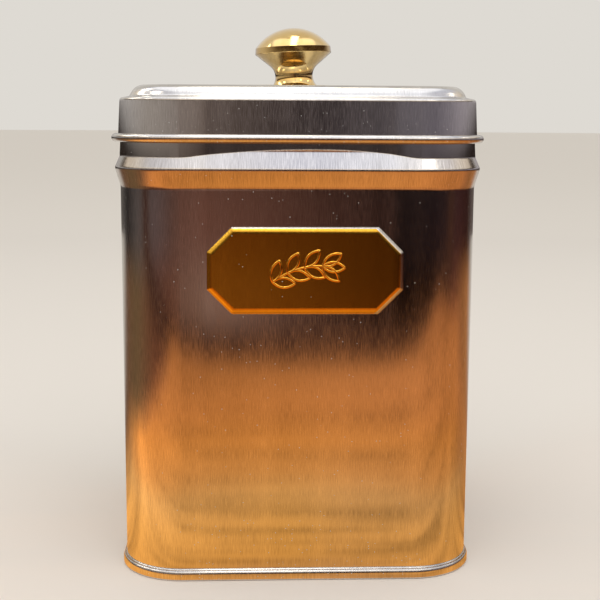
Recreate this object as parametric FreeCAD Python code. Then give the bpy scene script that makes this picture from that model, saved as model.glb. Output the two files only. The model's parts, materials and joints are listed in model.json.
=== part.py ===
import FreeCAD, Part
import math
import os

from FreeCAD import Vector

# A square tea tin with a press-on lid and a mushroom knob, in millimetres.
# +Z is up, the origin is at the bottom centre, and the panelled face looks along -Y.
# Sections are drawn as (out, up): out is the distance outside the body's flat wall.

# Body
BODY_WIDTH = 92.0
CORNER_RADIUS = 16.0
RIM_HEIGHT = 123.1

# Bead pressed round the shoulder, measured down from the rim
BEAD_OUT = 1.4
BEAD_DROP = 16.9
BEAD_FLANK = 4.7
BEAD_FOOT_ROUND = 3.0
BEAD_CREST_ROUND = 1.1
FLANK_SLOPE = 2.25

# Neck above the bead, tapering in to the rim and bowed in at the middle of each side
NECK_OUT_LOW = 0.26
NECK_IN_TOP = 0.6
NECK_BOW = 0.82
BOW_CREST_LENGTH = 4.0
BOW_CREST_SHIFT = 4.0
BOW_STATIONS = 10

# Panel embossed in the front wall
PANEL_WIDTH = 49.0
PANEL_HEIGHT = 21.6
PANEL_CHAMFER = 6.1
PANEL_OUT = 0.8
PANEL_SHIFT = 1.3
PANEL_DROP = 42.0
PANEL_EDGES = ((0.35, 0.42), (0.65, 0.64), (0.95, 0.75), (1.35, PANEL_OUT))
PANEL_ROOT = 6.0

# Lock seam down the middle of the back
LOCK_WIDTH = 4.6
LOCK_OUT = 0.35
LOCK_BEVEL = 0.3
LOCK_CLEAR = 1.0

# Bottom end, folded over the body's foot
SEAM_OUT = 0.9
SEAM_HEIGHT = 3.15
SEAM_SHOULDER_DROP = 1.1
SEAM_SHOULDER_ROUND = 1.6
SEAM_ROLL_DROP = 0.53
SEAM_LIP = 0.34
SEAM_LIP_FALL = 0.4
SEAM_GROOVE = 0.12
SEAM_GROOVE_DEPTH = 0.3
SEAM_INNER = 0.6
SEAM_EDGE_ROUND = 0.3
END_RECESS = 2.2
SHEET = 0.25

# Lid
LID_CLEARANCE = 0.2
LID_SHEET = 0.3
LID_FLARE = 0.5
LID_SKIRT = 9.35
LID_SHOULDER_RISE = 0.6
LID_SHOULDER_ROUND = 0.8
LID_LEDGE = 2.5
LID_LEDGE_RISE = 0.5
LID_LEDGE_ROUND = 0.5
PLATFORM_RISE = 2.8
PLATFORM_SLANT = 1.5
PLATFORM_ROUND = 3.4
CURL_RADIUS = 1.02

# Knob
KNOB_HEIGHT = 16.9
KNOB_LEAN = 2.3
FOOT_RADIUS = 7.2
FOOT_HEIGHT = 0.22
FOOT_FLARE_HEIGHT = 1.46
FOOT_FLARE_ROUND = 3.9
STEM_RADIUS = 5.28
STEM_TOP = 5.4
CAP_RADIUS = 10.7
CAP_UNDER_RISE = 4.5
CAP_UNDER_ROUND = 3.7
RIM_BAND = 1.6
RIM_TAPER = 0.15
RIM_ROUND = 0.15

# Shared lines
WALL = BODY_WIDTH / 2.0
FLAT = WALL - CORNER_RADIUS
BEAD_CREST = RIM_HEIGHT - BEAD_DROP
END_TOP = END_RECESS + SHEET
LID_INNER = LID_CLEARANCE - NECK_IN_TOP
LID_OUTER = LID_INNER + LID_SHEET
SHOULDER_Z = RIM_HEIGHT + LID_SHOULDER_RISE
PLATFORM_Z = SHOULDER_Z + LID_LEDGE_RISE + PLATFORM_RISE


def corner_cut(before, point, after, radius):
    """Return the three points of the arc that rounds one corner of an outline."""
    to_before = (before - point).normalize()
    to_after = (after - point).normalize()
    half_angle = to_before.getAngle(to_after) / 2.0
    reach = radius / math.tan(half_angle)
    bisector = (to_before + to_after).normalize()
    centre = point + bisector * (radius / math.sin(half_angle))
    middle = centre - bisector * radius
    return point + to_before * reach, middle, point + to_after * reach


def outline(corners):
    """Return a closed wire through corners, each a point and its rounding radius.

    A corner may also be an arc of its own, given as its start, middle and end.
    """
    count = len(corners)
    runs = []
    for index, corner in enumerate(corners):
        if len(corner) == 3:
            runs.append(corner)
            continue
        point, radius = corner
        if radius == 0.0:
            runs.append((point, None, point))
            continue
        before = corners[index - 1]
        before = before[2] if len(before) == 3 else before[0]
        after = corners[(index + 1) % count][0]
        runs.append(corner_cut(before, point, after, radius))
    edges = []
    for index, (start, middle, end) in enumerate(runs):
        if middle is not None:
            edges.append(Part.Arc(start, middle, end).toShape())
        following = runs[(index + 1) % count][0]
        if end.distanceToPoint(following) > 1e-6:
            edges.append(Part.makeLine(end, following))
    return Part.Wire(edges)


def at(out, up):
    """Return the point of a section that lies out from the wall and up from z 0."""
    return Vector(WALL + out, 0.0, up)


def section(stations):
    """Return a face in the XZ plane from (out, up, radius) stations."""
    return Part.Face(outline([(at(out, up), radius) for out, up, radius in stations]))


def around(shape):
    """Return four copies of a shape, a quarter turn apart about the tin's axis."""
    copies = []
    for quarter in range(4):
        copy = shape.copy()
        copy.rotate(Vector(0, 0, 0), Vector(0, 0, 1), 90.0 * quarter)
        copies.append(copy)
    return copies


def carry_round(face):
    """Return the pieces made by carrying a section round the square's outline."""
    side_face = face.copy()
    side_face.translate(Vector(0, -FLAT, 0))
    side = side_face.extrude(Vector(0, 2.0 * FLAT, 0))
    corner_face = face.copy()
    corner_face.translate(Vector(0, FLAT, 0))
    corner = corner_face.revolve(Vector(FLAT, FLAT, 0), Vector(0, 0, 1), 90.0)
    return around(side) + around(corner)


def join(pieces):
    """Return one clean solid from touching or overlapping pieces."""
    shape = pieces[0].multiFuse(pieces[1:]).removeSplitter()
    return shape.Solids[0]


def core(low, high):
    """Return the block that fills the square between the corner axes."""
    side = 2.0 * FLAT
    return Part.makeBox(side, side, high - low, Vector(-FLAT, -FLAT, low))


def bow_at(x):
    """Return how far the neck is drawn in at x along a side, as a part of the bow."""
    crest_start = BOW_CREST_SHIFT - BOW_CREST_LENGTH / 2.0
    crest_end = BOW_CREST_SHIFT + BOW_CREST_LENGTH / 2.0
    if x < crest_start:
        return math.sin(math.pi / 2.0 * (x + FLAT) / (crest_start + FLAT))
    if x < crest_end:
        return 1.0
    return math.sin(math.pi / 2.0 * (FLAT - x) / (FLAT - crest_end))


def neck_outline(inset, z):
    """Return the neck's outline: round corners and sides that bow inwards."""
    face_y = -(WALL - inset)
    radius = CORNER_RADIUS - inset
    points = []
    for station in range(BOW_STATIONS + 1):
        x = -FLAT + 2.0 * FLAT * station / BOW_STATIONS
        points.append(Vector(x, face_y + NECK_BOW * bow_at(x), z))
    points[0].y = face_y
    points[-1].y = face_y
    along = Vector(1, 0, 0)
    curve = Part.BSplineCurve()
    curve.interpolate(points, InitialTangent=along, FinalTangent=along)
    middle = radius * math.sqrt(0.5)
    arc = Part.Arc(
        Vector(FLAT, face_y, z),
        Vector(FLAT + middle, -FLAT - middle, z),
        Vector(-face_y, -FLAT, z),
    )
    edges = []
    for side, corner in zip(around(curve.toShape()), around(arc.toShape())):
        edges.append(side)
        edges.append(corner)
    return Part.Wire(edges)


def neck():
    """Return the neck, from inside the bead up to the rim."""
    low = neck_outline(-NECK_OUT_LOW, BEAD_CREST)
    top = neck_outline(NECK_IN_TOP, RIM_HEIGHT)
    return Part.makeLoft([low, top], True, True)


def octagon(width, height, chamfer, y):
    """Return an octagonal outline, centred on the panel, in the plane at y."""
    centre_z = RIM_HEIGHT - PANEL_DROP
    x = width / 2.0
    z = height / 2.0
    corners = [
        (-x, -z + chamfer),
        (-x + chamfer, -z),
        (x - chamfer, -z),
        (x, -z + chamfer),
        (x, z - chamfer),
        (x - chamfer, z),
        (-x + chamfer, z),
        (-x, z - chamfer),
    ]
    points = [Vector(PANEL_SHIFT + cx, y, centre_z + cz) for cx, cz in corners]
    return Part.makePolygon(points + points[:1])


def panel():
    """Return the raised panel: sides that ease over in narrow bevels, and a root."""
    outlines = []
    for inset, out in ((0.0, 0.0),) + PANEL_EDGES:
        outlines.append(
            octagon(
                PANEL_WIDTH - 2.0 * inset,
                PANEL_HEIGHT - 2.0 * inset,
                PANEL_CHAMFER - inset * (2.0 - math.sqrt(2.0)),
                -WALL - out,
            )
        )
    raised = Part.makeLoft(outlines, True, True)
    root = Part.Face(outlines[0]).extrude(Vector(0, PANEL_ROOT, 0))
    return [raised, root]


def lock_seam():
    """Return the shallow folded seam that closes the body sheet at the back."""
    low = SEAM_HEIGHT
    high = BEAD_CREST - BEAD_FLANK - LOCK_CLEAR
    half = LOCK_WIDTH / 2.0
    points = [
        Vector(-half, WALL - LOCK_OUT, low),
        Vector(half, WALL - LOCK_OUT, low),
        Vector(half, WALL, low),
        Vector(half - LOCK_BEVEL, WALL + LOCK_OUT, low),
        Vector(-half + LOCK_BEVEL, WALL + LOCK_OUT, low),
        Vector(-half, WALL, low),
    ]
    strip = Part.Face(Part.makePolygon(points + points[:1]))
    return strip.extrude(Vector(0, 0, high - low))


def tin_body():
    """Return the body: straight wall, shoulder bead, bowed neck and panel."""
    bead_foot = BEAD_CREST - BEAD_FLANK
    inside = -(NECK_IN_TOP + NECK_BOW)
    flank_top = BEAD_CREST + (BEAD_OUT - inside) * FLANK_SLOPE
    stations = [
        (-CORNER_RADIUS, END_TOP, 0.0),
        (0.0, END_TOP, 0.0),
        (0.0, bead_foot, BEAD_FOOT_ROUND),
        (BEAD_OUT, BEAD_CREST, BEAD_CREST_ROUND),
        (inside, flank_top, 0.0),
        (-CORNER_RADIUS, flank_top, 0.0),
    ]
    pieces = carry_round(section(stations))
    pieces.append(core(END_TOP, flank_top))
    pieces.append(neck())
    pieces.extend(panel())
    pieces.append(lock_seam())
    return join(pieces)


def tin_base():
    """Return the bottom end: recessed panel, folded rim and grooved seam roll."""
    roll_z = SEAM_HEIGHT - SEAM_ROLL_DROP
    groove_z = roll_z - SEAM_GROOVE_DEPTH
    groove_out = SEAM_LIP + SEAM_GROOVE
    stations = [
        (-CORNER_RADIUS, END_RECESS, 0.0),
        (-SEAM_INNER, END_RECESS, 0.0),
        (-SEAM_INNER, 0.0, 0.0),
        (SEAM_OUT, 0.0, SEAM_EDGE_ROUND),
        (SEAM_OUT, SEAM_HEIGHT - SEAM_SHOULDER_DROP, SEAM_SHOULDER_ROUND),
        (groove_out, roll_z, 0.0),
        (groove_out, groove_z, 0.0),
        (SEAM_LIP, groove_z, 0.0),
        (SEAM_LIP, SEAM_HEIGHT - SEAM_LIP_FALL, 0.0),
        (0.0, SEAM_HEIGHT, 0.0),
        (0.0, END_TOP, 0.0),
        (-CORNER_RADIUS, END_TOP, 0.0),
    ]
    pieces = carry_round(section(stations))
    pieces.append(core(END_RECESS, END_TOP))
    return join(pieces)


def lid():
    """Return the lid: raised platform, ledge, flared skirt and outward curl."""
    curl_z = RIM_HEIGHT - LID_SKIRT
    curl_inner = LID_INNER + LID_FLARE
    curl_out = curl_inner + CURL_RADIUS
    curl_rise = math.sqrt(LID_SHEET * (2.0 * CURL_RADIUS - LID_SHEET))
    ledge_out = LID_OUTER - LID_LEDGE
    ledge_z = SHOULDER_Z + LID_LEDGE_RISE
    curl = (
        at(curl_inner, curl_z),
        at(curl_out + CURL_RADIUS, curl_z),
        at(curl_inner + LID_SHEET, curl_z + curl_rise),
    )
    corners = [
        (at(-CORNER_RADIUS, RIM_HEIGHT), 0.0),
        (at(LID_INNER, RIM_HEIGHT), 0.0),
        curl,
        (at(LID_OUTER, SHOULDER_Z), LID_SHOULDER_ROUND),
        (at(ledge_out, ledge_z), LID_LEDGE_ROUND),
        (at(ledge_out - PLATFORM_SLANT, PLATFORM_Z), PLATFORM_ROUND),
        (at(-CORNER_RADIUS, PLATFORM_Z), 0.0),
    ]
    pieces = carry_round(Part.Face(outline(corners)))
    pieces.append(core(RIM_HEIGHT, PLATFORM_Z))
    return join(pieces)


def knob():
    """Return the turned knob, leaning a little, with its foot flat on the lid."""
    rim_low = STEM_TOP + CAP_UNDER_RISE
    rim_top = rim_low + RIM_BAND
    edge_radius = CAP_RADIUS - RIM_TAPER
    rise = KNOB_HEIGHT - rim_top
    dome = (edge_radius ** 2 + rise ** 2) / (2.0 * rise)
    turn = math.asin(edge_radius / dome) / 2.0
    crown = Vector(0, 0, KNOB_HEIGHT)
    rim_edge = Vector(edge_radius, 0, rim_top)
    halfway = Vector(
        dome * math.sin(turn), 0, KNOB_HEIGHT - dome + dome * math.cos(turn)
    )
    below = -CAP_RADIUS * math.sin(math.radians(KNOB_LEAN))
    corners = [
        (Vector(0, 0, below), 0.0),
        (Vector(FOOT_RADIUS, 0, below), 0.0),
        (Vector(FOOT_RADIUS, 0, FOOT_HEIGHT), 0.0),
        (Vector(STEM_RADIUS, 0, FOOT_FLARE_HEIGHT), FOOT_FLARE_ROUND),
        (Vector(STEM_RADIUS, 0, STEM_TOP), CAP_UNDER_ROUND),
        (Vector(CAP_RADIUS, 0, rim_low), RIM_ROUND),
        (rim_edge, 0.0),
        (Vector(0, 0, rim_top), 0.0),
    ]
    turned = Part.Face(outline(corners)).revolve(
        Vector(0, 0, 0), Vector(0, 0, 1), 360.0
    )
    cap_edges = [
        Part.Arc(crown, halfway, rim_edge).toShape(),
        Part.makeLine(rim_edge, Vector(0, 0, rim_top)),
        Part.makeLine(Vector(0, 0, rim_top), crown),
    ]
    cap = Part.Face(Part.Wire(cap_edges)).revolve(
        Vector(0, 0, 0), Vector(0, 0, 1), 360.0
    )
    shape = join([turned, cap])
    shape.rotate(Vector(0, 0, 0), Vector(0, 1, 0), -KNOB_LEAN)
    depth = 2.0 * CAP_RADIUS
    under = Part.makeBox(
        2.0 * depth, 2.0 * depth, depth, Vector(-depth, -depth, -depth)
    )
    shape = shape.cut(under).Solids[0]
    shape.translate(Vector(0, 0, PLATFORM_Z))
    return shape


NODES = {
    "tin_body": tin_body,
    "tin_base": tin_base,
    "lid": lid,
    "knob": knob,
}


os.makedirs("parts", exist_ok=True)
for name, build in NODES.items():
    shape = build()
    shape.exportStep("parts/" + name + ".step")
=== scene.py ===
"""Looks of a square tea tin: its finishes, its panel's ornament, the studio and the camera."""

import json
import logging
import math
from collections.abc import Callable
from dataclasses import dataclass, field
from enum import Enum
from functools import partial

import bpy
from mathutils import Matrix, Vector

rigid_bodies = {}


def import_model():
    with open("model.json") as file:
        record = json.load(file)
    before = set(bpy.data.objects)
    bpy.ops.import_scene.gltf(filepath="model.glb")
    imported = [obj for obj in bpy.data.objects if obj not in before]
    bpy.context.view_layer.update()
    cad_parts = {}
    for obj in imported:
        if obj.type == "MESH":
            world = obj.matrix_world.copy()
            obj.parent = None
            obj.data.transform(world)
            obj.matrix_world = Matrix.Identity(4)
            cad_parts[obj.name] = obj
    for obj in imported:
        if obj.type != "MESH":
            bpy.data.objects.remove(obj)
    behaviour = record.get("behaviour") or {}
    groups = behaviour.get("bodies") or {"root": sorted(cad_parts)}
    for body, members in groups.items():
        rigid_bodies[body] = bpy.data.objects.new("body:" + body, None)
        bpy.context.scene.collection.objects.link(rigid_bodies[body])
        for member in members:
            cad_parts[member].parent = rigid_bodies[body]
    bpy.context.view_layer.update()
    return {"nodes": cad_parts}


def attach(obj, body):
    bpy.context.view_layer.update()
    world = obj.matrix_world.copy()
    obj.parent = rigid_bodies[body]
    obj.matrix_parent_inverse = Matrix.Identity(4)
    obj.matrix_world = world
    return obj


LOG = logging.getLogger("tea_tin")
MM = 0.001
RING_STEPS = 96
FULL_TURN = (-180.0, 180.0)
QUARTER_TURN = (0.0, 90.0)
# Noise seldom leaves this span, so it is stretched from it to a full range.
NOISE_SPAN = (0.3, 0.7)

Adder = Callable[..., bpy.types.Node]
Feed = bpy.types.Node | bpy.types.NodeSocket | float
Stops = tuple[tuple[float, str], ...]

BUMP = "ShaderNodeBump"
EMISSION = "ShaderNodeEmission"
GEOMETRY = "ShaderNodeNewGeometry"
JOIN = "ShaderNodeCombineXYZ"
MAPPING = "ShaderNodeMapping"
MATH = "ShaderNodeMath"
MIX = "ShaderNodeMix"
NOISE = "ShaderNodeTexNoise"
OUTPUT = "ShaderNodeOutputMaterial"
PLACE = "ShaderNodeTexCoord"
RAMP = "ShaderNodeValToRGB"
RANGE = "ShaderNodeMapRange"
SHADER = "ShaderNodeBsdfPrincipled"
SPLIT = "ShaderNodeSeparateXYZ"
VECTOR = "ShaderNodeVectorMath"

ADD = {"operation": "ADD"}
ANGLE = {"operation": "ARCTAN2"}
BELOW = {"operation": "LESS_THAN"}
HIGHER = {"operation": "MAXIMUM"}
LENGTH = {"operation": "LENGTH"}
LOWER = {"operation": "MINIMUM"}
MINUS = {"operation": "SUBTRACT"}
TIMES = {"operation": "MULTIPLY"}
TIMES_ADD = {"operation": "MULTIPLY_ADD"}
UNSIGNED = {"operation": "ABSOLUTE"}
COLOURS = {"data_type": "RGBA"}
VECTORS = {"data_type": "VECTOR"}


def linear(hex_code: str) -> tuple[float, float, float, float]:
    """Turn an sRGB hex colour into the linear colour that sockets take.

    Args:
        hex_code: Colour such as "#B8B4AE".

    Returns:
        Red, green, blue and an alpha of 1, all linear.
    """
    channels = []
    for start in (1, 3, 5):
        value = int(hex_code[start : start + 2], 16) / 255.0
        if value <= 0.04045:
            channels.append(value / 12.92)
        else:
            channels.append(((value + 0.055) / 1.055) ** 2.4)
    return channels[0], channels[1], channels[2], 1.0


def add_node(
    tree: bpy.types.NodeTree,
    kind: str,
    settings: dict | None = None,
    inputs: dict | tuple = (),
    stops: Stops = (),
) -> bpy.types.Node:
    """Add one node to a tree, with its settings, constants and links.

    Args:
        tree: Tree that takes the node.
        kind: Type name of the node.
        settings: Attribute values by attribute name.
        inputs: What feeds the inputs, in order, or by name or number: a constant, a
            hex colour, a socket, or a node for its first output.
        stops: Places and hex colours of a colour ramp.

    Returns:
        The new node.
    """
    node = tree.nodes.new(kind)
    for name, value in (settings or {}).items():
        setattr(node, name, value)
    for key, value in inputs.items() if isinstance(inputs, dict) else enumerate(inputs):
        if isinstance(value, bpy.types.Node):
            value = value.outputs[0]
        if isinstance(value, bpy.types.NodeSocket):
            tree.links.new(value, node.inputs[key])
        else:
            node.inputs[key].default_value = linear(value) if isinstance(value, str) else value
    for index, (place, colour) in enumerate(stops):
        elements = node.color_ramp.elements
        stop = elements[index] if index < 2 else elements.new(place)
        stop.position = place
        stop.color = linear(colour)
    return node


def new_material(name: str) -> tuple[bpy.types.Material, Adder]:
    """Make an empty node material.

    Args:
        name: Name of the material.

    Returns:
        The material, and a function that adds a node to its tree.
    """
    material = bpy.data.materials.new(name)
    material.use_nodes = True
    material.node_tree.nodes.clear()
    return material, partial(add_node, material.node_tree)


def dress(piece: bpy.types.Object, material: bpy.types.Material) -> None:
    """Give every material slot of a piece the same material.

    Args:
        piece: Object to dress.
        material: Material that it takes.
    """
    if not piece.material_slots:
        piece.data.materials.append(material)
    for slot in piece.material_slots:
        slot.material = material


def add_mesh(name: str, points: list, faces: list) -> bpy.types.Object:
    """Make a mesh object and put it in the scene.

    Args:
        name: Name of the object and its mesh.
        points: Places of its points, in metres.
        faces: Numbers of the points round each face.

    Returns:
        The object.
    """
    mesh = bpy.data.meshes.new(name)
    mesh.from_pydata(points, [], faces)
    piece = bpy.data.objects.new(name, mesh)
    bpy.context.scene.collection.objects.link(piece)
    return piece


def ring(radius: float, height: float) -> list[tuple[float, float, float]]:
    """List the points of a level ring about the tin's axis.

    Args:
        radius: Radius in metres.
        height: Height in metres.

    Returns:
        The points, anticlockwise from +X.
    """
    turns = [2.0 * math.pi * step / RING_STEPS for step in range(RING_STEPS)]
    return [(radius * math.cos(turn), radius * math.sin(turn), height) for turn in turns]


def shares(stops: Stops, low: float, high: float) -> Stops:
    """Turn the places of colour stops into shares of a span.

    Args:
        stops: Places and hex colours.
        low: Place where the share is 0.
        high: Place where it is 1.

    Returns:
        Shares and hex colours.
    """
    return tuple(((place - low) / (high - low), colour) for place, colour in stops)


class Grain(Enum):
    """Way in which a brushed sheet was pulled past the abrasive belt."""

    UPRIGHT = "up and down every wall, as on a body rolled from one strip"
    FOLDED = "front to back over a flat end, and up and down its skirt"


@dataclass(frozen=True)
class PanelField:
    """Eight-sided field of gold lacquer printed on the front wall, in millimetres.

    The print sits a little left of the embossed panel and below its top, so a
    thread of bare metal shows along the panel's upper and right-hand bevels.
    """

    centre: tuple[float, float] = (1.3, 81.1)
    left: float = 24.6
    right: float = 23.85
    top: float = 10.6
    bottom: float = 10.9
    left_cuts: float = 29.3
    top_right_cut: float = 28.25
    bottom_right_cut: float = 28.3
    front_y: float = -45.0
    soft_edge: float = 0.05

    def sides(self) -> list[tuple[tuple[float, float, float], float]]:
        """List the planes that bound the field.

        Returns:
            For each its outward direction, and the most that a point inside
            measures along it from the centre.
        """
        return [
            ((-1.0, 0.0, 0.0), self.left),
            ((1.0, 0.0, 0.0), self.right),
            ((0.0, 0.0, 1.0), self.top),
            ((0.0, 0.0, -1.0), self.bottom),
            ((-1.0, 0.0, 1.0), self.left_cuts),
            ((-1.0, 0.0, -1.0), self.left_cuts),
            ((1.0, 0.0, 1.0), self.top_right_cut),
            ((1.0, 0.0, -1.0), self.bottom_right_cut),
            ((0.0, 1.0, 0.0), self.front_y),
        ]

    def mask(self, add: Adder, place: bpy.types.NodeSocket) -> bpy.types.Node:
        """Build the field's mask.

        Args:
            add: Adds a node to the material.
            place: Object coordinates in metres.

        Returns:
            A node that gives 1 inside the field and 0 outside it.
        """
        middle_x, middle_z = self.centre
        moved = add(VECTOR, MINUS, (place, (middle_x * MM, 0.0, middle_z * MM)))
        inside = 1.0
        for direction, limit in self.sides():
            along = add(VECTOR, {"operation": "DOT_PRODUCT"}, (moved, direction)).outputs["Value"]
            span = ((limit - self.soft_edge) * MM, (limit + self.soft_edge) * MM, 1.0, 0.0)
            inside = add(MATH, TIMES, (inside, add(RANGE, None, (along, *span))))
        return inside


@dataclass(frozen=True)
class GoldLacquer:
    """Translucent gold lacquer, stoved on brushed steel.

    The dye lets the metal shine through as a deep amber gold. The lacquer fills
    the scratches a little, so it is softer and shows fewer hairlines than the
    bare sheet beside it. Raised work is smoother, and is given paler colours as
    a painted highlight on its ridges. Sizes are in millimetres.
    """

    name: str = "gold_lacquer"
    light: str = "#E0AE3E"
    dark: str = "#CC982F"
    raised_highlight_light: str = "#F2BE52"
    raised_highlight_dark: str = "#DC9C34"
    roughness: float = 0.22
    raised_roughness: tuple[float, float] = (0.11, 0.22)
    cloud_size: float = 1.4
    cloud_detail: float = 3.0

    def build(self) -> bpy.types.Material:
        """Build the lacquer's own material, for raised work on the panel.

        Returns:
            The finished material.
        """
        material, add = new_material(self.name)
        place = add(PLACE).outputs["Object"]
        size = {"Scale": 1.0 / (self.cloud_size * MM), "Detail": self.cloud_detail}
        clouds = add(NOISE, None, {"Vector": place, **size})
        # Painted highlight: the raised work takes paler colours than the printed field.
        colour = add(MIX, COLOURS, {0: clouds, 6: self.raised_highlight_dark, 7: self.raised_highlight_light})
        low, high = self.raised_roughness
        roughness = add(RANGE, None, {0: clouds, 3: low, 4: high})
        look = {"Base Color": colour.outputs[2], "Metallic": 1.0, "Roughness": roughness}
        add(OUTPUT, None, (add(SHADER, None, look),))
        return material


@dataclass(frozen=True)
class Dust:
    """Pale household dust, as specks that lie thicker near one height, in millimetres."""

    colour: str = "#BDB9B4"
    spacing: float = 0.9
    # The specks are drawn up to 0.12 mm in radius, several times the real ones, to show.
    size: float = 0.12
    share: float = 0.14
    thin_height: float = 24.0
    thick_height: float = 2.0
    thick_share: float = 0.6

    def mask(self, add: Adder, place: bpy.types.NodeSocket) -> bpy.types.Node:
        """Build the mask of the specks.

        Args:
            add: Adds a node to the material.
            place: Object coordinates in metres.

        Returns:
            A node that gives 1 on a speck and 0 elsewhere.
        """
        size = {"Scale": 1.0 / (self.spacing * MM), "Randomness": 1.0}
        cells = add("ShaderNodeTexVoronoi", None, {"Vector": place, **size}).outputs
        lot = add("ShaderNodeSeparateColor", None, (cells["Color"],)).outputs
        reach = add(MATH, TIMES, (lot[1], self.size / self.spacing))
        near = add(MATH, BELOW, (cells["Distance"], reach))
        height = add(SPLIT, None, (place,)).outputs["Z"]
        span = (self.thin_height * MM, self.thick_height * MM, self.share, self.thick_share)
        chosen = add(MATH, BELOW, (lot[0], add(RANGE, None, (height, *span))))
        return add(MATH, TIMES, (near, chosen))


@dataclass(frozen=True)
class BrushedTinplate:
    """Tin-plated steel sheet, belt brushed and then clear lacquered.

    The belt leaves hair-fine scratches in one direction, which draw a reflection
    out sideways and keep it crisp along the scratch. Tin is a neutral, slightly
    warm white metal. Rolling and pressing leave the walls a touch wavy, ease
    them into their corners, and round every edge. The upright neck under the
    lid is painted greyer, as painted shade. Sizes are in millimetres.
    """

    name: str = "brushed_tinplate"
    light: str = "#DEDBD7"
    dark: str = "#B9B5B0"
    painted_neck_shade: str = "#B6B0AA"
    roughness: float = 0.16
    roughness_spread: float = 0.03
    anisotropy: float = 0.8
    # A real hairline is about 0.02 mm wide. It is drawn ten times as wide, to show.
    scratch_width: float = 0.2
    scratch_length: float = 3.2
    scratch_depth: float = 0.0008
    scratch_detail: float = 2.0
    scratch_roughness: float = 0.6
    band_width: float = 3.5
    band_length: float = 90.0
    band_share: float = 0.2
    bow_length: float = 75.0
    bow_depth: float = 0.3
    wave_length: float = 24.0
    wave_depth: float = 0.02
    edge_round: float = 0.45
    edge_samples: int = 6
    ease_span: tuple[float, float] = (23.0, 37.0)
    ease_depth: float = 0.9
    neck_foot: tuple[float, float] = (107.0, 108.0)
    neck_rise: tuple[float, float] = (0.25, 0.1)
    level_rise: tuple[float, float] = (0.6, 0.8)
    flat_half: float = 30.0
    corner_radius: float = 16.0

    def build(
        self,
        grain: Grain,
        dust: Dust,
        panel: PanelField | None = None,
        lacquer: GoldLacquer | None = None,
    ) -> bpy.types.Material:
        """Build the material.

        Args:
            grain: Direction of the brushing.
            dust: Dust that lies on the sheet.
            panel: Field of gold lacquer, for the sheet that carries it.
            lacquer: The lacquer on that field.

        Returns:
            The finished material.
        """
        material, add = new_material(self.name + "_" + grain.name.lower())
        place = add(PLACE).outputs["Object"]
        level = 0.0
        if grain is Grain.FOLDED:
            rise = add(MATH, UNSIGNED, (self.facing_up(add),))
            level = add(RANGE, None, (rise, *self.level_rise))
        strip = self.strip_place(add, place)
        finest = (self.scratch_width, self.scratch_length, self.scratch_detail)
        fine = self.scratches(add, place, strip, level, *finest)
        bands = self.scratches(add, place, strip, level, self.band_width, self.band_length, 0.0)
        tone = add(MIX, {"data_type": "FLOAT"}, {0: self.band_share, 2: fine, 3: bands})
        tone = add(RANGE, None, (tone, *NOISE_SPAN))
        # The tone is stretched a second time here, so the roughness keeps mostly to its ends.
        low, high = self.roughness - self.roughness_spread, self.roughness + self.roughness_spread
        roughness = add(RANGE, None, (tone, *NOISE_SPAN, low, high))
        colour = add(MIX, COLOURS, {0: tone, 6: self.dark, 7: self.light}).outputs[2]
        if panel is not None and lacquer is not None:
            gold = panel.mask(add, place)
            amber = add(MIX, COLOURS, {0: tone, 6: lacquer.dark, 7: lacquer.light}).outputs[2]
            colour = add(MIX, COLOURS, {0: gold, 6: colour, 7: amber}).outputs[2]
            parts = {0: gold, 2: roughness, 3: lacquer.roughness}
            roughness = add(MIX, {"data_type": "FLOAT"}, parts)
        # Painted shade: the upright neck above neck_foot is made greyer, standing in for the dark
        # under the lid's hem.
        if grain is Grain.UPRIGHT:
            upright = add(RANGE, None, (self.facing_up(add), *self.neck_rise))
            foot, full = self.neck_foot
            height = add(SPLIT, None, (place,)).outputs["Z"]
            neck_shade_mask = add(MATH, TIMES, (upright, add(RANGE, None, (height, foot * MM, full * MM))))
            colour = add(MIX, COLOURS, {0: neck_shade_mask, 6: colour, 7: self.painted_neck_shade}).outputs[2]
        specks = dust.mask(add, place)
        colour = add(MIX, COLOURS, {0: specks, 6: colour, 7: dust.colour}).outputs[2]
        look = {
            "Base Color": colour,
            "Metallic": add(MATH, MINUS, (1.0, specks)),
            "Roughness": roughness,
            "Anisotropic": self.anisotropy,
            "Normal": self.relief(add, place, fine, level),
            "Tangent": self.across(add, level),
        }
        add(OUTPUT, None, (add(SHADER, None, look),))
        return material

    def facing_up(self, add: Adder) -> bpy.types.NodeSocket:
        """Build how far the sheet faces up: 1 on a level top, 0 on an upright wall."""
        return add(SPLIT, None, (add(GEOMETRY).outputs["Normal"],)).outputs["Z"]

    def strip_place(self, add: Adder, place: bpy.types.NodeSocket) -> bpy.types.Node:
        """Build the place on the flat strip that the walls were rolled from.

        Args:
            add: Adds a node to the material.
            place: Object coordinates in metres.

        Returns:
            The distance round the walls as X, and the height as Z.
        """
        flat = self.flat_half * MM
        core = add(VECTOR, LOWER, (place, (flat, flat, 0.0)))
        core = add(VECTOR, HIGHER, (core, (-flat, -flat, 0.0)))
        whole = add(SPLIT, None, (place,)).outputs
        inner = add(SPLIT, None, (core,)).outputs
        outer = add(SPLIT, None, (add(VECTOR, MINUS, (place, core)),)).outputs
        turn = add(MATH, ANGLE, (outer["X"], add(MATH, TIMES, (outer["Y"], -1.0))))
        side = add(MATH, {"operation": "SIGN"}, (whole["X"],))
        back = add(MATH, ADD, (inner["Y"], flat))
        along = add(MATH, TIMES_ADD, (side, back, inner["X"]))
        around = add(MATH, TIMES_ADD, (turn, self.corner_radius * MM, along))
        return add(JOIN, None, {"X": around, "Z": whole["Z"]})

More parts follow.
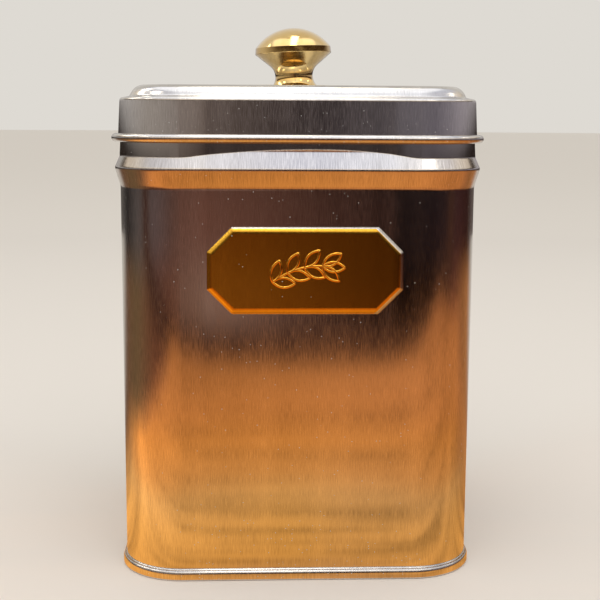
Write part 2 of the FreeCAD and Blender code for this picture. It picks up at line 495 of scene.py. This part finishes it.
    def scratches(
        self,
        add: Adder,
        place: bpy.types.NodeSocket,
        strip: bpy.types.Node,
        level: Feed,
        width: float,
        length: float,
        detail: float,
    ) -> bpy.types.Node:
        """Build noise that is stretched along the brushing.

        Args:
            add: Adds a node to the material.
            place: Object coordinates in metres.
            strip: Place on the flat strip of the walls.
            level: Mask of the level parts.
            width: Width of a scratch in millimetres.
            length: Length of a scratch in millimetres.
            detail: Octaves of finer noise.

        Returns:
            A noise value about 0.5.
        """
        thin = 1.0 / (width * MM)
        long = 1.0 / (length * MM)
        up = add(MAPPING, None, {"Vector": strip, "Scale": (thin, thin, long)})
        over = add(MAPPING, None, {"Vector": place, "Scale": (thin, long, thin)})
        stretch = add(MIX, VECTORS, {0: level, 4: up, 5: over}).outputs[1]
        size = {"Scale": 1.0, "Detail": detail, "Roughness": self.scratch_roughness}
        return add(NOISE, None, {"Vector": stretch, **size})

    def relief(
        self, add: Adder, place: bpy.types.NodeSocket, fine: bpy.types.Node, level: Feed
    ) -> bpy.types.Node:
        """Build the rounded edges, the eased corners, the waves and the scratches.

        Args:
            add: Adds a node to the material.
            place: Object coordinates in metres.
            fine: Noise of the fine scratches.
            level: Mask of the level parts, which aren't eased.

        Returns:
            The bumped normal.
        """
        rounding = {"Radius": self.edge_round * MM}
        normal = add("ShaderNodeBevel", {"samples": self.edge_samples}, rounding)
        size = add(SPLIT, None, (add(VECTOR, UNSIGNED, (place,)),)).outputs
        start, end = self.ease_span
        span = (add(MATH, LOWER, (size["X"], size["Y"])), start * MM, end * MM, 1.0, 0.0)
        ease = add(RANGE, {"interpolation_type": "SMOOTHSTEP"}, span)
        bow, wave = (
            add(NOISE, None, {"Vector": place, "Scale": 1.0 / (length * MM), "Detail": 0.0})
            for length in (self.bow_length, self.wave_length)
        )
        for height, depth, amount in (
            (ease, self.ease_depth, add(MATH, MINUS, (1.0, level))),
            (bow, self.bow_depth, 1.0),
            (wave, self.wave_depth, 1.0),
            (fine, self.scratch_depth, 1.0),
        ):
            parts = {"Height": height, "Normal": normal, "Distance": depth * MM}
            normal = add(BUMP, None, {"Strength": amount, **parts})
        return normal

    def across(self, add: Adder, level: Feed) -> bpy.types.NodeSocket:
        """Build the direction across the scratches, along which light spreads.

        Args:
            add: Adds a node to the material.
            level: Mask of the level parts.

        Returns:
            The direction.
        """
        round_walls = add("ShaderNodeTangent", {"direction_type": "RADIAL", "axis": "Z"})
        return add(MIX, VECTORS, {0: level, 4: round_walls, 5: (1.0, 0.0, 0.0)}).outputs[1]


@dataclass(frozen=True)
class PolishedBrass:
    """Turned brass, buffed to a mirror and lacquered.

    Buffing leaves a near mirror with faint rings from the lathe, and the gold of
    the alloy colours all that it reflects. The clear lacquer adds a white glint.
    Sizes are in millimetres.
    """

    name: str = "polished_brass"
    light: str = "#F2D48C"
    dark: str = "#DEB25C"
    roughness: tuple[float, float] = (0.05, 0.17)
    lacquer_roughness: float = 0.06
    # A real lathe's rings are under 0.1 mm apart. They are drawn wider, to show.
    ring_spacing: float = 0.35
    ring_depth: float = 0.0015
    ring_wander: float = 100.0 / 3.0
    cloud_size: float = 2.5
    cloud_detail: float = 3.0

    def build(self) -> bpy.types.Material:
        """Build the material.

        Returns:
            The finished material.
        """
        material, add = new_material(self.name)
        place = add(PLACE).outputs["Object"]
        size = {"Scale": 1.0 / (self.cloud_size * MM), "Detail": self.cloud_detail}
        clouds = add(NOISE, None, {"Vector": place, **size})
        wander = 1.0 / (self.ring_wander * MM)
        stretch = {"Vector": place, "Scale": (wander, wander, 1.0 / (self.ring_spacing * MM))}
        parts = {"Vector": add(MAPPING, None, stretch), "Scale": 1.0, "Detail": 1.0}
        rings = add(NOISE, None, parts)
        relief = {"Height": rings, "Strength": 1.0, "Distance": self.ring_depth * MM}
        look = {
            "Base Color": add(MIX, COLOURS, {0: clouds, 6: self.dark, 7: self.light}).outputs[2],
            "Metallic": 1.0,
            "Roughness": add(RANGE, None, (clouds, *NOISE_SPAN, *self.roughness)),
            "Coat Weight": 1.0,
            "Coat Roughness": self.lacquer_roughness,
            "Normal": add(BUMP, None, relief),
        }
        add(OUTPUT, None, (add(SHADER, None, look),))
        return material


@dataclass
class TinBody:
    """Body of the tin with its seamed bottom end."""

    sheet: BrushedTinplate = field(default_factory=BrushedTinplate)
    panel: PanelField = field(default_factory=PanelField)
    lacquer: GoldLacquer = field(default_factory=GoldLacquer)
    dust: Dust = field(default_factory=Dust)

    def build(self, nodes: dict[str, bpy.types.Object]) -> None:
        """Dress the body and the bottom end.

        Args:
            nodes: CAD nodes by name.
        """
        body = self.sheet.build(Grain.UPRIGHT, self.dust, self.panel, self.lacquer)
        dress(nodes["tin_body"], body)
        LOG.info("tin_body: brushed tinplate with its gold field")
        dress(nodes["tin_base"], self.sheet.build(Grain.FOLDED, self.dust))
        LOG.info("tin_base: brushed tinplate")


@dataclass
class LeafSprig:
    """Raised sprig of leaves in outline, stamped on the panel, in millimetres."""

    centre: tuple[float, float, float] = (1.6, -46.8, 81.4)
    length: float = 17.0
    rise: float = 3.0
    stem_share: float = 0.74
    leaf_length: float = 5.6
    leaf_width: float = 2.5
    leaf_pairs: int = 4
    leaf_turn_deg: float = 38.0
    ridge_radius: float = 0.34
    ridge_sides: int = 10
    curve_steps: int = 28
    lacquer: GoldLacquer = field(default_factory=GoldLacquer)

    def build(self) -> None:
        """Build the sprig, dress it and fix it to the tin."""
        seed = add_mesh("leaf_sprig_seed", [], [])
        modifier = seed.modifiers.new("sprig", "NODES")
        tree = self.tree(self.lacquer.build())
        modifier.node_group = tree
        for name, value in self.sizes().items():
            socket = next(item for item in tree.interface.items_tree if item.name == name)
            modifier[socket.identifier] = value
        graph = bpy.context.evaluated_depsgraph_get()
        result = bpy.data.meshes.new_from_object(seed.evaluated_get(graph))
        bpy.data.objects.remove(seed)
        sprig = bpy.data.objects.new("leaf_sprig", result)
        bpy.context.scene.collection.objects.link(sprig)
        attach(sprig, "root")
        LOG.info("leaf_sprig: %d faces of gold lacquer", len(result.polygons))

    def sizes(self) -> dict[str, float | int]:
        """List the sizes that the node tree takes.

        Returns:
            Values by input name, in metres, radians and counts.
        """
        return {
            "Length": self.length * MM,
            "Rise": self.rise * MM,
            "Leaf Length": self.leaf_length * MM,
            "Leaf Width": self.leaf_width * MM,
            "Leaf Pairs": self.leaf_pairs,
            "Leaf Turn": math.radians(self.leaf_turn_deg),
            "Ridge Radius": self.ridge_radius * MM,
        }

    def tree(self, material: bpy.types.Material) -> bpy.types.NodeTree:
        """Build the node tree: a bowed stem with leaves turned off it in pairs.

        Args:
            material: Material of the ridges.

        Returns:
            The node tree, with named inputs for its sizes.
        """
        tree = bpy.data.node_groups.new("leaf_sprig_nodes", "GeometryNodeTree")
        for name, value in self.sizes().items():
            kind = "NodeSocketInt" if isinstance(value, int) else "NodeSocketFloat"
            tree.interface.new_socket(name, in_out="INPUT", socket_type=kind)
        tree.interface.new_socket("Geometry", in_out="OUTPUT", socket_type="NodeSocketGeometry")
        add = partial(add_node, tree)
        sizes = add("NodeGroupInput").outputs
        stem = self.stem(add, sizes)
        leaf = self.leaf(add, sizes)
        joined = add("GeometryNodeJoinGeometry", None, (stem,))
        for side in (-1.0, 1.0):
            points = {"Curve": stem, "Count": sizes["Leaf Pairs"]}
            row = add("GeometryNodeCurveToPoints", {"mode": "COUNT"}, points).outputs
            turn = add(MATH, TIMES, (sizes["Leaf Turn"], side))
            row = self.leaves(add, row["Points"], row["Tangent"], leaf, turn)
            tree.links.new(row.outputs[0], joined.inputs[0])
        tree.links.new(self.tip(add, stem, leaf).outputs[0], joined.inputs[0])
        round_bar = {"Resolution": self.ridge_sides, "Radius": sizes["Ridge Radius"]}
        profile = add("GeometryNodeCurvePrimitiveCircle", None, round_bar)
        plain = add("GeometryNodeRealizeInstances", None, (joined,))
        ridge = {"Curve": plain, "Profile Curve": profile, "Fill Caps": True}
        bars = add("GeometryNodeCurveToMesh", None, ridge)
        smooth = add("GeometryNodeSetShadeSmooth", None, (bars,))
        move = {0: smooth, "Translation": Vector(self.centre) * MM}
        finish = {0: add("GeometryNodeTransform", None, move), "Material": material}
        add("NodeGroupOutput", None, (add("GeometryNodeSetMaterial", None, finish),))
        return tree

    def stem(self, add: Adder, sizes: bpy.types.NodeOutputs) -> bpy.types.Node:
        """Build the stem, bowed upwards between its low root and its tip.

        Args:
            add: Adds a node to the tree.
            sizes: Size sockets by name.

        Returns:
            The stem's curve.
        """
        half, back = (add(MATH, TIMES, (sizes["Length"], end)) for end in (0.5, -0.5))
        low = add(MATH, TIMES, (sizes["Rise"], -1.0))
        bow = {
            "Resolution": self.curve_steps,
            "Start": add(JOIN, None, {"X": back, "Z": low}),
            "Middle": add(JOIN, None, {"Z": sizes["Rise"]}),
            "End": add(JOIN, None, {"X": half}),
        }
        curve = add("GeometryNodeCurveQuadraticBezier", None, bow)
        trim = {"Curve": curve, "Start": 0.0, "End": self.stem_share}
        return add("GeometryNodeTrimCurve", {"mode": "FACTOR"}, trim)

    def leaf(self, add: Adder, sizes: bpy.types.NodeOutputs) -> bpy.types.Node:
        """Build one leaf's outline, pointed at both ends, lying along X from the origin.

        Args:
            add: Adds a node to the tree.
            sizes: Size sockets by name.

        Returns:
            The outline's closed curve.
        """
        circle = {"Resolution": self.curve_steps, "Radius": 1.0}
        outline = add("GeometryNodeCurvePrimitiveCircle", None, circle)
        split = add(SPLIT, None, (add("GeometryNodeInputPosition"),)).outputs
        reach = add(MATH, TIMES_ADD, (split["X"], 0.5, 0.5))
        along = add(MATH, TIMES, (reach, sizes["Leaf Length"]))
        taper = add(MATH, TIMES, (add(MATH, UNSIGNED, (split["Y"],)), split["Y"]))
        half_width = add(MATH, TIMES, (sizes["Leaf Width"], 0.5))
        moved = add(JOIN, None, {"X": along, "Z": add(MATH, TIMES, (taper, half_width))})
        return add("GeometryNodeSetPosition", None, {"Geometry": outline, "Position": moved})

    def tip(self, add: Adder, stem: bpy.types.Node, leaf: bpy.types.Node) -> bpy.types.Node:
        """Build the single leaf that carries the stem on past its end.

        Args:
            add: Adds a node to the tree.
            stem: The stem's curve.
            leaf: One leaf's outline.

        Returns:
            The leaf as an instance.
        """
        ends = {"Curve": stem, "Count": 2}
        points = add("GeometryNodeCurveToPoints", {"mode": "COUNT"}, ends).outputs
        far_end = {"Geometry": points["Points"], "Selection": add("GeometryNodeInputIndex")}
        last = add("GeometryNodeSeparateGeometry", {"domain": "POINT"}, far_end)
        return self.leaves(add, last, points["Tangent"], leaf, 0.0)

    def leaves(
        self, add: Adder, points: Feed, along: Feed, leaf: bpy.types.Node, turn: Feed
    ) -> bpy.types.Node:
        """Put a leaf on each point, turned off the stem's direction there.

        Args:
            add: Adds a node to the tree.
            points: Points on the stem.
            along: Direction of the stem at each point.
            leaf: One leaf's outline.
            turn: Angle off the stem, about the panel's own axis.

        Returns:
            The leaves as instances.
        """
        axes = {"axis": "X", "pivot_axis": "Y"}
        aim = add("FunctionNodeAlignRotationToVector", axes, {"Vector": along})
        swing = {"Rotation": aim, "Rotate By": add(JOIN, None, {"Y": turn})}
        facing = add("FunctionNodeRotateRotation", {"rotation_space": "LOCAL"}, swing)
        set_out = {"Points": points, "Instance": leaf, "Rotation": facing}
        return add("GeometryNodeInstanceOnPoints", None, set_out)


@dataclass
class Lid:
    """Press-on lid with its knob."""

    sheet: BrushedTinplate = field(default_factory=BrushedTinplate)
    brass: PolishedBrass = field(default_factory=PolishedBrass)
    dust: Dust = field(
        default_factory=lambda: Dust(thin_height=119.0, thick_height=115.0, thick_share=1.0)
    )

    def build(self, nodes: dict[str, bpy.types.Object]) -> None:
        """Dress the lid and the knob.

        Args:
            nodes: CAD nodes by name.
        """
        dress(nodes["lid"], self.sheet.build(Grain.FOLDED, self.dust))
        LOG.info("lid: brushed tinplate")
        dress(nodes["knob"], self.brass.build())
        LOG.info("knob: polished brass")


def show_in_metal_only(piece: bpy.types.Object) -> None:
    """Hide a stage piece from the camera and keep its light off everything but metal.

    Args:
        piece: Stage piece to hide.
    """
    piece.visible_camera = False
    piece.visible_diffuse = False
    piece.visible_transmission = False
    piece.visible_shadow = False


class Spot:
    """Where a point of a card lies about the tin, as sockets and nodes.

    Distances are in metres. The bearing is a share of a full turn, and half of
    it is straight ahead.
    """

    def __init__(self, add: Adder) -> None:
        """Build the measures.

        Args:
            add: Adds a node to the card's material.
        """
        self.place = add(PLACE).outputs["Object"]
        split = add(SPLIT, None, (self.place,)).outputs
        self.aside, self.height = split["X"], split["Z"]
        flat = add(JOIN, None, {"X": split["X"], "Y": split["Y"]})
        self.distance = add(VECTOR, LENGTH, (flat,)).outputs["Value"]
        self.ahead = add(MATH, TIMES, (split["Y"], -1.0))
        self.compass = add(MATH, ANGLE, (self.aside, self.ahead))
        self.bearing = add(RANGE, None, (self.compass, -math.pi, math.pi))


@dataclass
class MirroredRoom:
    """Cards that show only in the metal: a warm table top and a dim room round it.

    They light nothing and the camera doesn't see them. In the metal they stand
    in front of the pale studio, which shows only behind the tin, so most of the
    tin's warm colour comes from them and not from its finish. A card's colours
    are stops along a distance in metres, along a bearing in degrees, where 0 is
    in front of the tin and a plus is to its right, or along a rise in degrees
    over the floor.
    The table is given by its edges, each with where it starts to fade and where
    it ends. Its front edge bends away from the tin to both sides. Each rise is
    where the next thing up the wall starts to show and where it is full. The
    cards are a floor just off the real one, a round wall and a dome over it.
    """

    table: Stops = (
        (0.05, "#DE9C56"),
        (0.062, "#EEA650"),
        (0.085, "#F0AA56"),
        (0.115, "#EAAA60"),
        (0.14, "#E4984E"),
        (0.18, "#E89344"),
        (0.22, "#DA8743"),
        (0.28, "#DE8A48"),
        (0.50, "#C47842"),
    )
    table_light: Stops = (
        (-180.0, "#C4C4C4"),
        (-105.0, "#FFFFFF"),
        (-70.0, "#FFFFFF"),
        (-34.0, "#CCCCCC"),
        (-10.0, "#C4C4C4"),
        (-2.0, "#CBCBC7"),
        (5.0, "#CCCDD1"),
        (9.0, "#CCCEDA"),
        (60.0, "#BEBEC2"),
        (180.0, "#C4C4C4"),
    )
    behind_table: Stops = (
        (-180.0, "#A59D95"),
        (-118.0, "#7A5840"),
        (-90.0, "#7C6244"),
        (-50.0, "#7C4A34"),
        (-26.0, "#7C503E"),
        (-9.0, "#907060"),
        (-5.0, "#AC8674"),
        (-2.6, "#C49A88"),
        (0.0, "#5A382C"),
        (4.0, "#281813"),
        (8.0, "#080505"),
        (32.0, "#060404"),
        (58.0, "#30201A"),
        (78.0, "#6E4030"),
        (118.0, "#C07E48"),
        (180.0, "#A59D95"),
    )
    wall_foot: Stops = (
        (-180.0, "#9C958F"),
        (-118.0, "#2A2625"),
        (-90.0, "#605855"),
        (-50.0, "#6C5A58"),
        (-26.0, "#6A4C42"),
        (-4.0, "#86594A"),
        (0.5, "#6A4436"),
        (4.0, "#402821"),
        (9.0, "#1E1615"),
        (58.0, "#2A1E20"),
        (85.0, "#462928"),
        (115.0, "#3A201B"),
        (180.0, "#9C958F"),
    )
    wall: Stops = (
        (-180.0, "#BAB5B2"),
        (-110.0, "#C8C3C0"),
        (-60.0, "#B8AFA8"),
        (-28.0, "#AAA09A"),
        (-7.0, "#8E7E76"),
        (-3.0, "#74655F"),
        (0.5, "#382D2B"),
        (4.5, "#241C1B"),
        (7.0, "#4E4749"),
        (9.0, "#7C767D"),
        (16.0, "#7C767D"),
        (40.0, "#7E7882"),
        (90.0, "#B4ACB4"),
        (180.0, "#BAB5B2"),
    )
    sky: Stops = (
        (20.0, "#F6E4CC"),
        (30.0, "#FFF3E2"),
        (38.0, "#E8E8EE"),
        (52.0, "#E8ECF6"),
        (58.0, "#F6F8FF"),
        (90.0, "#F6F8FF"),
    )
    window: Stops = (
        (-180.0, "#C8C8C8"),
        (-70.0, "#C4C4C6"),
        (-20.0, "#F4F0EC"),
        (-5.0, "#FFFBF4"),
        (-1.0, "#EAE8EE"),
        (2.0, "#D8DAE4"),
        (4.4, "#CCD0E2"),
        (6.5, "#E0E2EC"),
        (9.0, "#FFFFFF"),
        (30.0, "#FAF8F6"),
        (70.0, "#CCCCD0"),
        (180.0, "#C8C8C8"),
    )
    front_edge: tuple[float, float] = (0.294, 0.345)
    front_bend: float = 0.15
    back_edge: tuple[float, float] = (0.03, -0.09)
    left_edge: tuple[float, float] = (-0.17, -0.24)
    right_edge: tuple[float, float] = (0.42, 0.58)
    table_reach: tuple[float, float] = (0.49, 0.62)
    foot_zone: tuple[float, float] = (0.55, 0.85)
    edge_shade: str = "#4E3226"
    shadow_zone: tuple[float, float, float, float] = (0.2, 0.3, 0.47, 0.38)
    shade: str = "#302722"
    shade_rise: tuple[float, float] = (0.055, 0.075)
    wall_rise: tuple[float, float] = (0.13, 0.175)
    beam: str = "#44352A"
    beam_rise: tuple[float, float] = (0.27, 0.32)
    sky_rise: tuple[float, float] = (0.41, 0.45)
    window_rises_deg: tuple[tuple[float, float], ...] = ((20.0, 22.0), (57.0, 52.0))
    table_gain: float = 1.4
    sky_gain: float = 0.66
    grain_pitch: tuple[float, float] = (0.16, 0.013)
    grain_span: tuple[float, float] = (0.3, 0.6)
    grain_depth: float = 0.62
    grain_wander: float = 0.6
    clear_turn_deg: tuple[float, float] = (139.0, 126.0)
    floor_radii: tuple[float, float] = (0.047, 0.3)
    radius: float = 0.9
    height: float = 0.45
    middle: float = 0.1
    dome_radius: float = 1.0
    dome_rises_deg: range = range(25, 90, 8)
    lift: float = 0.0004
    foot_rise: tuple[float, float] = (0.0008, 0.0012)

    def build(self) -> None:
        """Build the cards and hide them from all but the metal."""
        points = []
        for radius in (*self.floor_radii, self.radius):
            points += ring(radius, self.lift)
        points += ring(self.radius, self.height)
        for rise in self.dome_rises_deg:
            turn = math.radians(rise)
            height = self.middle + self.dome_radius * math.sin(turn)
            points += ring(self.dome_radius * math.cos(turn), height)
        faces = []
        for low in range(0, len(points) - RING_STEPS, RING_STEPS):
            for step in range(RING_STEPS):
                after = (step + 1) % RING_STEPS
                high = low + RING_STEPS
                faces.append((low + step, low + after, high + after, high + step))
        room = add_mesh("mirrored_room", points, faces)
        show_in_metal_only(room)
        dress(room, self.glow())
        LOG.info("mirrored_room: %d faces, seen only in the metal", len(faces))

    def glow(self) -> bpy.types.Material:
        """Build the cards' material, clear where the real floor is to show.

        Returns:
            The emission material.
        """
        material, add = new_material("mirrored_room_glow")
        spot = Spot(add)
        on_table = self.on_table(add, spot)
        colour = self.floor_colour(add, spot, on_table)
        wall = add(RAMP, None, (spot.bearing,), shares(self.wall, *FULL_TURN))
        for rise, higher in (
            (self.shade_rise, self.shade),
            (self.wall_rise, wall),
            (self.beam_rise, self.beam),
            (self.sky_rise, self.sky_colour(add, spot)),
        ):
            reached = add(RANGE, None, (spot.height, *rise))
            colour = add(MIX, COLOURS, {0: reached, 6: colour, 7: higher}).outputs[2]
        in_sky = add(RANGE, None, (spot.height, *self.sky_rise))
        strength = add(MATH, TIMES_ADD, (on_table, self.table_gain, 1.0))
        strength = add(MATH, TIMES_ADD, (in_sky, self.sky_gain, strength))
        turned = add(MATH, UNSIGNED, (spot.compass,))
        start, end = (math.radians(turn) for turn in self.clear_turn_deg)
        not_behind = add(RANGE, None, (turned, start, end))
        off_floor = add(RANGE, None, (spot.height, *self.foot_rise))
        under_beam = add(RANGE, None, (spot.height, *self.beam_rise[::-1]))
        low_wall = add(MATH, TIMES, (off_floor, under_beam))
        solid = add(MATH, HIGHER, (add(MATH, HIGHER, (on_table, not_behind)), low_wall))
        glow = add(EMISSION, None, (colour, strength))
        clear = add("ShaderNodeBsdfTransparent")
        shader = add("ShaderNodeMixShader", None, (solid, clear, glow))
        add(OUTPUT, None, (shader,))
        material.cycles.emission_sampling = "NONE"
        return material

    def floor_colour(
        self, add: Adder, spot: Spot, on_table: bpy.types.Node
    ) -> bpy.types.NodeSocket:
        """Build the colours of the table top and of the floor beyond it.

        Args:
            add: Adds a node to the card's material.
            spot: Where the point lies.
            on_table: Mask of the table top.

        Returns:
            The colour.
        """
        beyond = {
            0: add(RANGE, None, (spot.distance, *self.foot_zone)),
            6: add(RAMP, None, (spot.bearing,), shares(self.behind_table, *FULL_TURN)),
            7: add(RAMP, None, (spot.bearing,), shares(self.wall_foot, *FULL_TURN)),
        }
        beyond = add(MIX, COLOURS, beyond).outputs[2]
        near = add(RANGE, None, (spot.ahead, *self.shadow_zone[:2]))
        far = add(RANGE, None, (spot.ahead, *self.shadow_zone[2:]))
        shadow = add(MATH, TIMES, (near, far))
        beyond = add(MIX, COLOURS, {0: shadow, 6: beyond, 7: self.edge_shade}).outputs[2]
        wood = add(RAMP, None, (spot.distance,), self.table)
        light = add(RAMP, None, (spot.bearing,), shares(self.table_light, *FULL_TURN))
        lit = add(VECTOR, TIMES, (wood, light))
        lit = add(VECTOR, TIMES, (lit, self.wood_grain(add, spot)))
        return add(MIX, COLOURS, {0: on_table, 6: beyond, 7: lit}).outputs[2]

    def sky_colour(self, add: Adder, spot: Spot) -> bpy.types.NodeSocket:
        """Build the colours of the pale sky and of the window in it.

        Args:
            add: Adds a node to the card's material.
            spot: Where the point lies.

        Returns:
            The colour.
        """
        over = add(MATH, MINUS, (spot.height, self.middle))
        rise = add(MATH, ANGLE, (over, spot.distance))
        rise = add(RANGE, None, (rise, 0.0, math.pi / 2.0))
        sky = add(RAMP, None, (rise,), shares(self.sky, *QUARTER_TURN))
        over_sill, under_head = (
            add(RANGE, None, (rise, start / QUARTER_TURN[1], end / QUARTER_TURN[1]))
            for start, end in self.window_rises_deg
        )
        inside = add(MATH, TIMES, (over_sill, under_head))
        panes = add(RAMP, None, (spot.bearing,), shares(self.window, *FULL_TURN))
        panes = add(VECTOR, TIMES, (sky, panes))
        return add(MIX, COLOURS, {0: inside, 6: sky, 7: panes}).outputs[2]

    def on_table(self, add: Adder, spot: Spot) -> bpy.types.Node:
        """Build the mask of the table top.

        Args:
            add: Adds a node to the card's material.
            spot: Where the point lies.

        Returns:
            A node that gives 1 on the table and 0 off it.
        """
        bend = add(MATH, TIMES, (add(MATH, UNSIGNED, (spot.aside,)), self.front_bend))
        near = add(MATH, MINUS, (spot.ahead, bend))
        reach = add(VECTOR, LENGTH, (spot.place,)).outputs["Value"]
        above = add(SPLIT, None, (add(GEOMETRY).outputs["Normal"],)).outputs["Z"]
        mask = add(MATH, UNSIGNED, (above,))
        for value, (start, end) in (
            (near, self.front_edge),
            (spot.ahead, self.back_edge),
            (spot.aside, self.left_edge),
            (spot.aside, self.right_edge),
            (reach, self.table_reach),
        ):
            mask = add(MATH, TIMES, (mask, add(RANGE, None, (value, end, start))))
        return mask

    def wood_grain(self, add: Adder, spot: Spot) -> bpy.types.Node:
        """Build the table's grain, long streaks that run from side to side.

        Args:
            add: Adds a node to the card's material.
            spot: Where the point lies.

        Returns:
            A grey level up to 1, to multiply the table's colour by.
        """
        along, across = self.grain_pitch
        stretch = {"Vector": spot.place, "Scale": (1.0 / along, 1.0 / across, 1.0)}
        parts = {"Scale": 1.0, "Detail": 3.0, "Distortion": self.grain_wander}
        streaks = add(NOISE, None, {"Vector": add(MAPPING, None, stretch), **parts})
        return add(RANGE, None, (streaks, *self.grain_span, 1.0 - self.grain_depth, 1.0))


@dataclass
class CeilingLamps:
    """Small bright lamps, seen only as glints in the brass and the tinplate.

    A lamp is its bearing and its rise in degrees, its width and its length in
    metres. The distance and the height of the middle are in metres.
    """

    places: tuple[tuple[float, float, float, float], ...] = (
        (-8.0, 82.0, 0.16, 0.75),
        (-75.0, 42.0, 0.14, 0.14),
        (-112.0, 38.0, 0.16, 0.3),
        (42.0, 36.0, 0.1, 0.14),
        (98.0, 34.0, 0.07, 0.12),
    )
    colour: str = "#FFF8EC"
    strength: float = 5.0
    distance: float = 0.78
    height: float = 0.13

    def build(self) -> None:
        """Build the lamps as one mesh of square cards that face the knob."""
        points = []
        faces = []
        for bearing, rise, width, length in self.places:
            turn = Matrix.Rotation(math.radians(bearing), 3, "Z")
            tilt = Matrix.Rotation(math.radians(-rise), 3, "X")
            first = len(points)
            for side, end in ((-0.5, -0.5), (0.5, -0.5), (0.5, 0.5), (-0.5, 0.5)):
                corner = turn @ (tilt @ Vector((side * width, -self.distance, end * length)))
                points.append(corner + Vector((0.0, 0.0, self.height)))
            faces.append(tuple(range(first, first + 4)))
        material, add = new_material("ceiling_lamp_glow")
        add(OUTPUT, None, (add(EMISSION, None, (self.colour, self.strength)),))
        lamps = add_mesh("ceiling_lamps", points, faces)
        show_in_metal_only(lamps)
        dress(lamps, material)
        LOG.info("ceiling_lamps: %d glints", len(faces))


@dataclass
class Studio:
    """Plain pale floor, plain pale surroundings and soft light from above, in metres."""

    floor_radius: float = 12.0
    floor_colour: str = "#E6DFD5"
    floor_roughness: float = 0.9
    light_colour: str = "#FFFDFA"
    light_strength: float = 0.8
    backdrop_colour: str = "#DEDAD3"
    softbox_colour: str = "#F6F8FF"
    softbox_place: tuple[float, float, float] = (0.0, -0.5, 1.1)
    softbox_aim: tuple[float, float, float] = (0.0, 0.0, 0.08)
    softbox_size: float = 1.3
    softbox_radiance: float = 1.12

    def build(self) -> None:
        """Build the floor, the world light and the lamp."""
        self.floor()
        self.world()
        self.softbox()
        LOG.info("studio: floor, world light and softbox")

    def floor(self) -> None:
        """Build the floor, a wide disc of matt card."""
        floor = add_mesh("floor", ring(self.floor_radius, 0.0), [list(range(RING_STEPS))])
        material, add = new_material("matt_card")
        look = {"Base Color": self.floor_colour, "Roughness": self.floor_roughness}
        add(OUTPUT, None, (add(SHADER, None, look),))
        dress(floor, material)

    def world(self) -> None:
        """Build the even light, and the backdrop that the camera and the metal see."""
        world = bpy.data.worlds.new("studio_world")
        bpy.context.scene.world = world
        world.use_nodes = True
        world.node_tree.nodes.clear()
        add = partial(add_node, world.node_tree)
        path = add("ShaderNodeLightPath").outputs
        seen = add(MATH, HIGHER, (path["Is Camera Ray"], path["Is Glossy Ray"]))
        seen = add(MATH, HIGHER, (seen, path["Is Transmission Ray"]))
        light = add("ShaderNodeBackground", None, (self.light_colour, self.light_strength))
        backdrop = add("ShaderNodeBackground", None, (self.backdrop_colour, 1.0))
        both = add("ShaderNodeMixShader", None, (seen, light, backdrop))
        add("ShaderNodeOutputWorld", None, (both,))

    def softbox(self) -> None:
        """Hang the square soft lamp above and in front of the tin, aimed at it."""
        lamp = bpy.data.lights.new("softbox", "AREA")
        lamp.shape = "SQUARE"
        lamp.size = self.softbox_size
        lamp.color = linear(self.softbox_colour)[:3]
        lamp.energy = self.softbox_radiance * math.pi * self.softbox_size**2
        softbox = bpy.data.objects.new("softbox", lamp)
        bpy.context.scene.collection.objects.link(softbox)
        # In the metal it would be a flat white patch, so the metal mirrors the cards.
        softbox.visible_glossy = False
        aim = Vector(self.softbox_aim) - Vector(self.softbox_place)
        turn = aim.to_track_quat("-Z", "Y").to_matrix().to_4x4()
        softbox.matrix_world = Matrix.Translation(self.softbox_place) @ turn


@dataclass
class Camera:
    """Camera a little below the lid, close in front and just left of centre."""

    place_mm: tuple[float, float, float] = (-11.9, -330.6, 118.4)
    heading_deg: float = 2.394
    dip_deg: float = 8.915
    roll_deg: float = 0.327
    lens_mm: float = 68.88
    sensor_mm: float = 36.0
    nearest_mm: float = 10.0

    def build(self) -> None:
        """Build the camera and make it the scene's own."""
        data = bpy.data.cameras.new("camera")
        data.sensor_width = self.sensor_mm
        data.lens = self.lens_mm
        data.clip_start = self.nearest_mm * MM
        camera = bpy.data.objects.new("camera", data)
        bpy.context.scene.collection.objects.link(camera)
        turn = (
            Matrix.Rotation(math.radians(-self.heading_deg), 4, "Z")
            @ Matrix.Rotation(math.radians(90.0 - self.dip_deg), 4, "X")
            @ Matrix.Rotation(math.radians(self.roll_deg), 4, "Z")
        )
        camera.matrix_world = Matrix.Translation(Vector(self.place_mm) * MM) @ turn
        bpy.context.scene.camera = camera
        LOG.info("camera: placed")


def main() -> None:
    """Load the frame, dress the tin, and build the studio and the camera."""
    logging.basicConfig(level=logging.INFO, format="%(name)s: %(message)s")
    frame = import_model()
    bpy.context.scene.view_settings.view_transform = "Standard"
    TinBody().build(frame["nodes"])
    LeafSprig().build()
    Lid().build(frame["nodes"])
    MirroredRoom().build()
    CeilingLamps().build()
    Studio().build()
    Camera().build()


if __name__ == "__main__":
    main()
